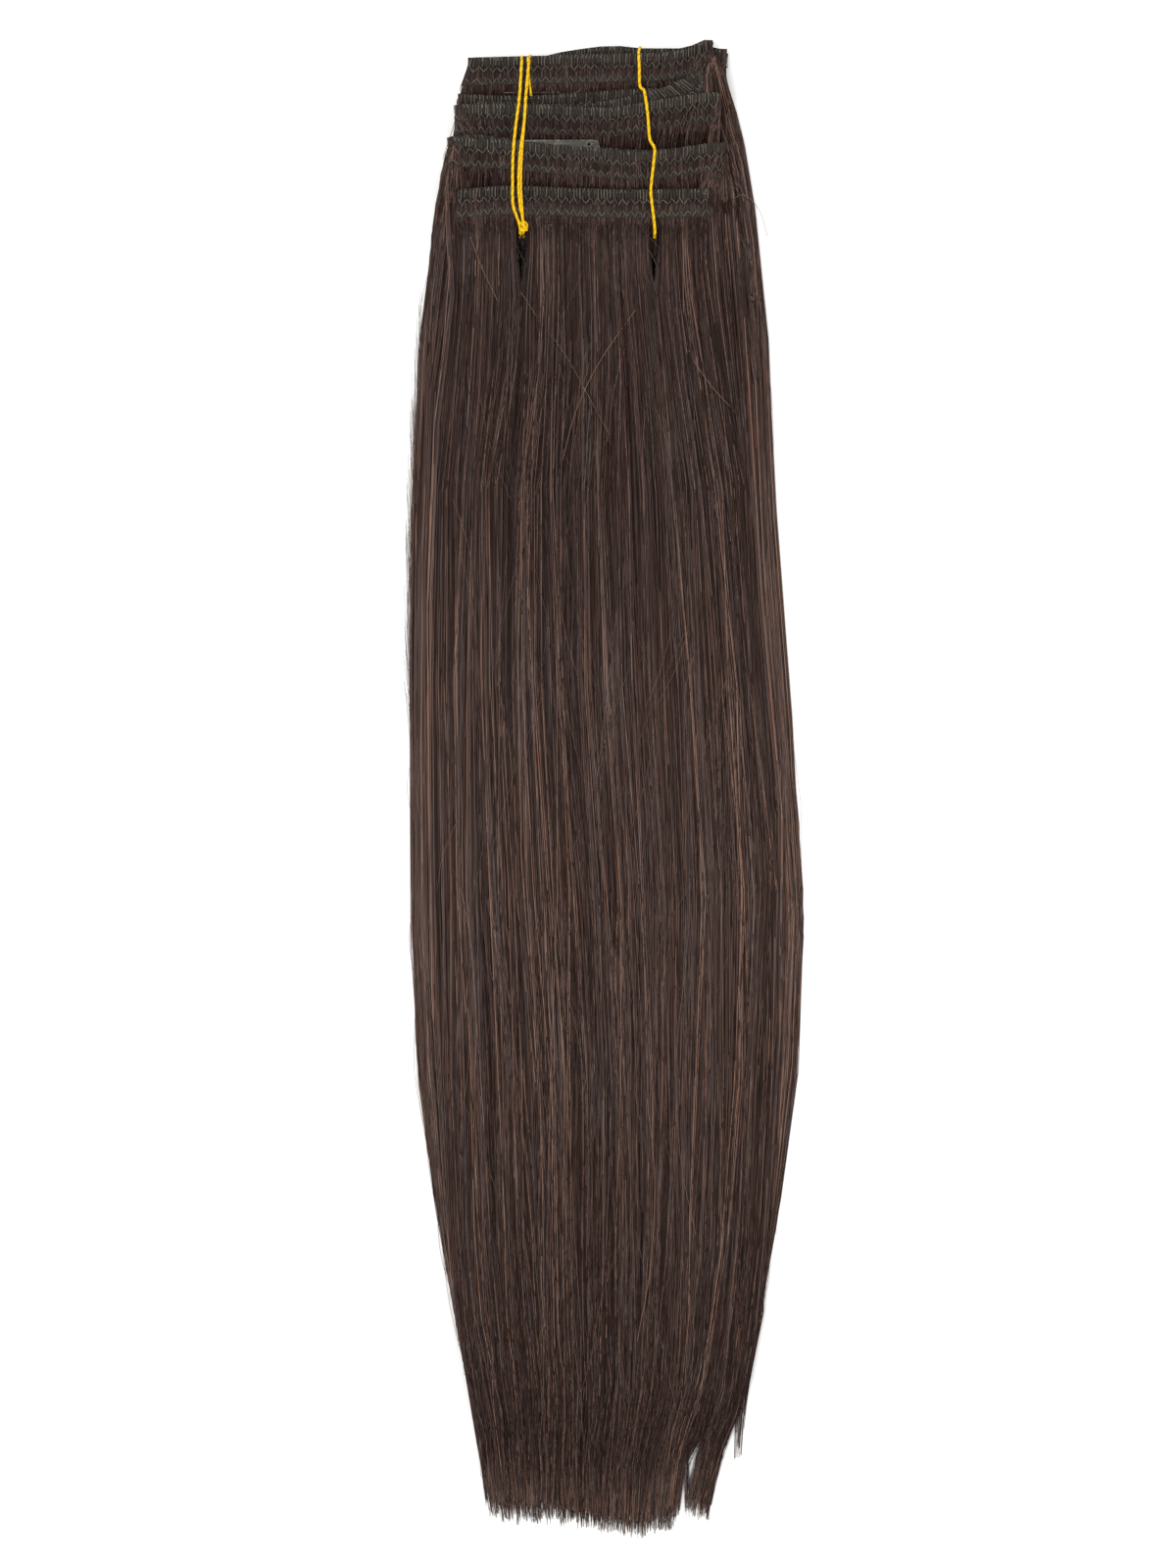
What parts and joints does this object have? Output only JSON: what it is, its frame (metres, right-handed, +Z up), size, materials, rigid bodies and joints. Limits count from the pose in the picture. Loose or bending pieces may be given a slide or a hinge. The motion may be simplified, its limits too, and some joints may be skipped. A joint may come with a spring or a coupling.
{
  "type": "clip in hair extension",
  "caption": "Bundle of long straight clip-in hair wefts, stacked in stitched tiers with snap comb clips and tied with gold thread.",
  "frame": {"origin": "middle of the bundle's bounding box, on the surface that it lies on", "axes": "+Z up from that surface, +Y along the hair from the tips towards the sewn tracks, +X across the wefts"},
  "size_m": [0.1492, 0.5644, 0.0231],
  "materials": {
    "hair": "dark brown straight fibre, satin",
    "weft_track": "hair over a woven band, stitched with grey-green thread",
    "clip_steel": "dark enamelled spring steel, semi-gloss",
    "tie_thread": "gold metallic elastic thread, glossy"
  },
  "bodies": {
    "root": {"weft_1_hair": "hair", "weft_2_hair": "hair", "weft_3_hair": "hair", "weft_4_hair": "hair", "weft_5_hair": "hair", "weft_6_hair": "hair", "weft_1_track": "weft_track", "weft_2_track": "weft_track", "weft_3_track": "weft_track", "weft_4_track": "weft_track", "weft_5_track": "weft_track", "weft_6_track": "weft_track", "weft_1_clip": "clip_steel", "weft_2_clip": "clip_steel", "weft_3_clip": "clip_steel", "weft_4_clip_1": "clip_steel", "weft_4_clip_2": "clip_steel", "weft_5_clip_1": "clip_steel", "weft_5_clip_2": "clip_steel", "weft_6_clip": "clip_steel", "tie_left": "tie_thread", "tie_right": "tie_thread"}
  },
  "joints": []
}
